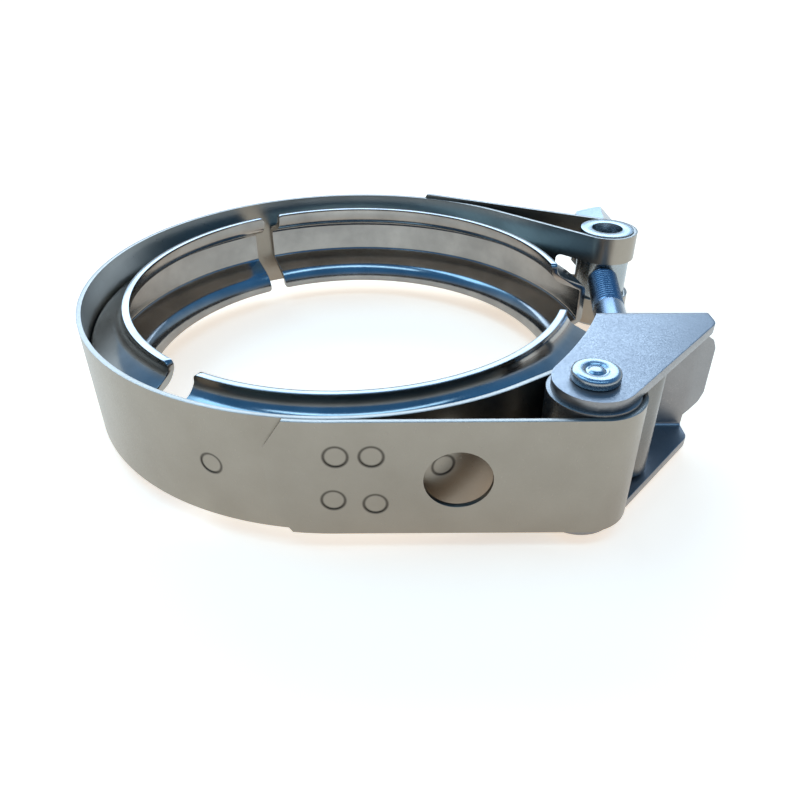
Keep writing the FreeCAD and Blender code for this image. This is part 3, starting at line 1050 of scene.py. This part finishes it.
@dataclass
class Pivot:
    """Rivet through both ears, and the bush it carries in the front loop."""

    shank_r: float = 3.0
    head_r: float = 4.4
    ear_z: float = 15.0
    head: float = 2.0
    bush_r: float = 8.4
    bush_bore: float = 3.05
    bush_half: float = 13.0
    bush_edge: float = 0.3

    def build(self) -> None:
        """Turn the rivet's two headed profile and the bush.

        A head has a broken lower edge, a rounded rim, a groove and a raised middle.
        """
        top, rim = self.ear_z + self.head, self.head_r
        head = [(self.shank_r, self.ear_z), (rim - 0.25, self.ear_z), (rim, self.ear_z + 0.25),
                (rim, top - 0.55), (rim - 0.16, top - 0.22), (rim - 0.5, top - 0.04), (rim - 0.8, top),
                (2.35, top), (2.2, top - 0.08), (2.05, top - 0.32), (1.75, top - 0.38),
                (1.5, top - 0.32), (1.3, top - 0.12), (1.05, top - 0.03), (0.5, top), (0.0, top)]
        profile = [(r, -z) for r, z in reversed(head)] + head
        rivet = turned("rivet", profile, at_height(PIVOT))
        smooth(rivet, angle=50)
        dress(rivet, BRIGHT.build(), "hook", "pivot", "pivot_rivet")
        bush = turned("bush", [(self.bush_bore, -self.bush_half), (self.bush_r, -self.bush_half),
                               (self.bush_r, self.bush_half), (self.bush_bore, self.bush_half)],
                      at_height(PIVOT))
        soften(bush, self.bush_edge)
        dress(bush, TURNED.build(), "hook", "bush", "pivot_bush")


# ---- trunnion, bolt and nut ---------------------------------------------------------
@dataclass
class TrunnionPin:
    """Tube in the rear loop with a cross hole for the bolt."""

    radius: float = TRUNNION_R
    bore: float = 4.1
    top: float = 12.8
    bottom: float = -13.5
    cross_r: float = 3.95
    seat_from_axis: float = 5.6
    seat_r: float = 5.2
    edge: float = 0.4

    def build(self) -> None:
        """Turn the tube, drill it and spot-face the nut's side."""
        centre, reach = at_height(TRUNNION), 2 * self.radius
        wall = [(self.bore, self.bottom), (self.radius, self.bottom),
                (self.radius, self.top), (self.bore, self.top)]
        piece = turned("trunnion_tube", wall, centre)
        hole = circle(centre - PULL * reach, PULL, self.cross_r)
        seat = circle(centre + PULL * self.seat_from_axis, PULL, self.seat_r)
        cut(piece, [prism("cross", hole, PULL * 2 * reach), prism("seat", seat, PULL * self.radius)])
        soften(piece, self.edge)
        dress(piece, BRIGHT.build(), "trunnion", "pivot", "trunnion")


@dataclass
class TBolt:
    """Crossbar and threaded shank."""

    shank_r: float = 3.9
    bar_r: float = 4.5
    bar_half: float = 12.4
    length: float = 110.0
    thread_start: float = 46.8
    pitch: float = 1.25
    crest_r: float = 3.96
    root_r: float = 3.3
    chamfer: float = 0.9
    flank: float = 2.6           # slope of the thread's flanks, in depths per pitch
    crest_flat: float = 0.15     # how far the crest is cut off, in depths
    runout: float = 1.5          # turns over which the thread fades in
    plain_rows: int = 12
    rows_per_turn: int = 10
    around: int = 48
    bar_edge: float = 0.6

    def radius(self, t: np.ndarray, angle: np.ndarray) -> np.ndarray:
        """Radius of the shank at a distance along it and an angle round it.

        The thread is a right hand helix: its phase is t / pitch - angle / 2 pi, and the radius
        is a clipped triangle wave of the phase, faded in over the first turn and a half and
        held under the chamfer at the point.

        Args:
            t: Distance from the crossbar.
            angle: Angle in radians.

        Returns:
            The radius at each.
        """
        phase = np.mod(t / self.pitch - angle / (2 * np.pi), 1.0)
        wave = np.clip(self.flank * np.abs(phase - 0.5) - self.crest_flat, 0, 1)
        cutting = np.clip((t - self.thread_start) / (self.runout * self.pitch), 0, 1)
        thread = self.crest_r - (self.crest_r - self.root_r) * wave
        r = self.shank_r + (thread - self.shank_r) * cutting
        return np.minimum(r, self.crest_r - self.chamfer + (self.length - t))

    def build(self) -> None:
        """Grid the shank in distance and angle, and turn the crossbar."""
        plain = np.linspace(0, self.thread_start, self.plain_rows)[:-1]
        threaded = np.arange(self.thread_start, self.length, self.pitch / self.rows_per_turn)
        t = np.concatenate([plain, threaded, [self.length]])
        a = np.linspace(0, 2 * np.pi, self.around, endpoint=False)
        shank = tube("bolt_shank", wrapped(at_height(BAR), t, self.radius(t[:, None], a[None, :]), a))
        smooth(shank, angle=60)
        dress(shank, BOLT.build(), "t_bolt", "bolt", "t_bolt")
        bar = turned("bolt_crossbar", [(0, -self.bar_half), (self.bar_r, -self.bar_half),
                                       (self.bar_r, self.bar_half), (0, self.bar_half)], at_height(BAR))
        soften(bar, self.bar_edge)
        dress(bar, TURNED.build(), "t_bolt", "bolt", "t_bolt")


@dataclass
class LongNut:
    """Hexagon nut with a collar that reaches the trunnion."""

    flats: float = 13.0
    length: float = 24.0
    seat: float = 12.2
    collar_r: float = 5.0
    collar_from: float = 5.65
    bore: float = 3.95
    bore_chamfer: float = 0.6
    turn: float = 15.0           # of the hexagon, in degrees
    cone: float = 30.0           # slope of the cone that cuts its corners
    past_cone: float = 1.02      # how far the rows over the cone run, in its depths
    cone_rows: int = 9
    around: int = 144

    def build(self) -> None:
        """Grid the nut in distance and angle.

        The hexagon's radius is (flats / 2) / cos(a wrapped to one side); a cone cuts its corners
        at both ends, so the surface is the lesser of the two.
        """
        side = np.pi / 3
        a = np.linspace(0, 2 * np.pi, self.around, endpoint=False)
        apothem = self.flats / 2
        hexagon = apothem / np.cos(np.mod(a - math.radians(self.turn), side) - side / 2)
        slope = math.tan(math.radians(self.cone))
        drop = (apothem * 2 / math.sqrt(3) - apothem) * slope
        end = np.linspace(0, drop * self.past_cone, self.cone_rows)
        t = np.concatenate([end, self.length - end[::-1]])
        inset = np.minimum(t, self.length - t)
        r = np.minimum(hexagon[None, :], (apothem + inset / slope)[:, None])
        collar = np.full((1, len(a)), self.collar_r)
        bore = np.full((1, len(a)), self.bore)
        low = self.collar_from - self.seat
        rings = np.concatenate([bore, collar, collar, r, bore + self.bore_chamfer, bore])
        t = np.concatenate([[low, low, 0.0], t, [self.length, self.length - self.bore_chamfer]])
        grid = wrapped(at_height(TRUNNION), self.seat + t, rings, a)
        grid = np.concatenate([grid, grid[:1]])
        rows, cols, _ = grid.shape
        piece = mesh_object("long_nut", grid.reshape(-1, 3), grid_faces(rows, cols, True))
        smooth(piece, angle=25)
        dress(piece, NUT.build(), "nut", "nut", "nut")


# ---- light, floor and camera ----------------------------------------------------------
@dataclass
class Studio:
    """Pale seamless floor, cool light from above and warm fill from the front."""

    camera_mm: tuple[float, float, float] = (12.0, -159.2, 80.7)
    pitch: float = 33.26
    roll: float = 0.32
    lens: float = 32.2
    sensor: float = 36.0
    near_clip: float = 0.005
    floor_half: float = 3.0
    paper: str = "#ffe8cc"
    lift: float = 0.70
    lift_colour: str = "#fff0df"
    softboxes: Sequence[tuple] = (
        ("behind", (-0.15, 1.05, 0.72), (1.5, 0.62), 15.5, "#b9d7f8"),
        ("overhead", (-0.55, 0.22, 1.05), (0.6, 0.5), 4.5, "#8ec4f0"),
        ("overhead_front", (0.05, -0.42, 1.1), (1.3, 0.2), 4.0, "#a4d4f8"))

    def camera(self) -> None:
        """Camera looking along +Y and down."""
        data = bpy.data.cameras.new("camera")
        data.lens = self.lens
        data.sensor_width = self.sensor
        data.clip_start = self.near_clip
        made = linked("camera", data)
        turn = Euler((math.radians(90 - self.pitch), 0, 0)).to_matrix() @ Matrix.Rotation(
            -math.radians(self.roll), 3, "Z")
        made.matrix_world = Matrix.Translation(Vector(self.camera_mm) * MM) @ turn.to_4x4()
        bpy.context.scene.camera = made

    def floor(self, low_z: float) -> None:
        """Seamless floor: pale paper, lifted to white where it is seen, also in the metal.

        Args:
            low_z: Its height in metres.
        """
        size = self.floor_half
        mesh = bpy.data.meshes.new("floor")
        corners = [(-size, -size, low_z), (size, -size, low_z), (size, size, low_z), (-size, size, low_z)]
        mesh.from_pydata(corners, [], [(0, 1, 2, 3)])
        floor = linked("floor", mesh)
        material = bpy.data.materials.new("floor_paper")
        tree = fresh_tree(material)
        path = add(tree, "ShaderNodeLightPath").outputs
        mirrored = add(tree, "ShaderNodeMath", {0: path["Is Glossy Ray"], 1: path["Is Transmission Ray"]},
                       operation="MAXIMUM")
        seen = add(tree, "ShaderNodeMath", {0: path["Is Camera Ray"], 1: mirrored.outputs[0]},
                   operation="MAXIMUM")
        strength = add(tree, "ShaderNodeMath", {0: seen.outputs[0], 1: self.lift}, operation="MULTIPLY")
        paper = add(tree, "ShaderNodeBsdfPrincipled", {
            "Base Color": linear(self.paper), "Roughness": 1.0, "Specular IOR Level": 0.0,
            "Emission Color": linear(self.lift_colour), "Emission Strength": strength.outputs[0]})
        add(tree, "ShaderNodeOutputMaterial", {"Surface": paper.outputs[0]})
        mesh.materials.append(material)
        floor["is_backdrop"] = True

    def sky(self) -> None:
        """World: by height, warm and dim towards the front, blue overhead and pale behind."""
        world = bpy.data.worlds.new("studio")
        bpy.context.scene.world = world
        tree = fresh_tree(world)
        way = add(tree, "ShaderNodeTexCoord").outputs["Generated"]
        axes = add(tree, "ShaderNodeSeparateXYZ", {0: way}).outputs
        front = self._ramp(tree, axes["Z"], ((0.0, "#cfc8bd"), (0.2, "#8aa6c4"), (0.5, "#4a8ccc"),
                                             (1.0, "#3a84cf")))
        behind = self._ramp(tree, axes["Z"], ((0.0, "#dfe2e5"), (0.3, "#b4d2ee"), (0.7, "#5c9fe0"),
                                              (1.0, "#3a84cf")))
        side = add(tree, "ShaderNodeMapRange", {"Value": axes["Y"], "From Min": -0.4, "From Max": 0.4},
                   interpolation_type="SMOOTHSTEP")
        colour = add(tree, "ShaderNodeMix", {0: side.outputs[0], 6: front, 7: behind}, data_type="RGBA")
        light = add(tree, "ShaderNodeBackground", {"Color": colour.outputs[2], "Strength": 1.0})
        add(tree, "ShaderNodeOutputWorld", {"Surface": light.outputs[0]})

    @staticmethod
    def _ramp(tree: bpy.types.NodeTree, height: bpy.types.NodeSocket,
              stops: Sequence[tuple[float, str]]) -> bpy.types.NodeSocket:
        """Colour ramp over a height.

        Args:
            tree: The world's tree.
            height: What drives it.
            stops: Place and hex colour of each stop.

        Returns:
            The colour.
        """
        ramp = add(tree, "ShaderNodeValToRGB", {"Fac": height})
        while len(ramp.color_ramp.elements) < len(stops):
            ramp.color_ramp.elements.new(0.5)
        for element, (at, colour) in zip(ramp.color_ramp.elements, stops):
            element.position = at
            element.color = linear(colour)
        return ramp.outputs["Color"]

    def lamps(self) -> None:
        """Broad cool softbox behind the clamp, and two smaller ones overhead."""
        for name, place, size, power, colour in self.softboxes:
            data = bpy.data.lights.new(name, "AREA")
            data.shape = "RECTANGLE"
            data.size, data.size_y = size
            data.energy = power
            data.color = linear(colour)[:3]
            aim = (-Vector(place)).to_track_quat("-Z", "Y")
            linked(name, data).matrix_world = Matrix.Translation(place) @ aim.to_matrix().to_4x4()

    def build(self, low_z: float) -> None:
        """Set up the studio.

        Args:
            low_z: Height of the object's lowest point in metres.
        """
        self.camera()
        self.floor(low_z)
        self.sky()
        self.lamps()
        bpy.context.scene.view_settings.view_transform = "Standard"


def main() -> None:
    """Build every piece and the studio."""
    logging.basicConfig(level=logging.INFO, format="%(message)s")
    cad_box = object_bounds()
    Strip().build()
    for retainer in RETAINERS:
        retainer.build()
    Hook().build()
    Pivot().build()
    TrunnionPin().build()
    TBolt().build()
    LongNut().build()
    Studio().build(cad_box[0][2])


if __name__ == "__main__":
    main()
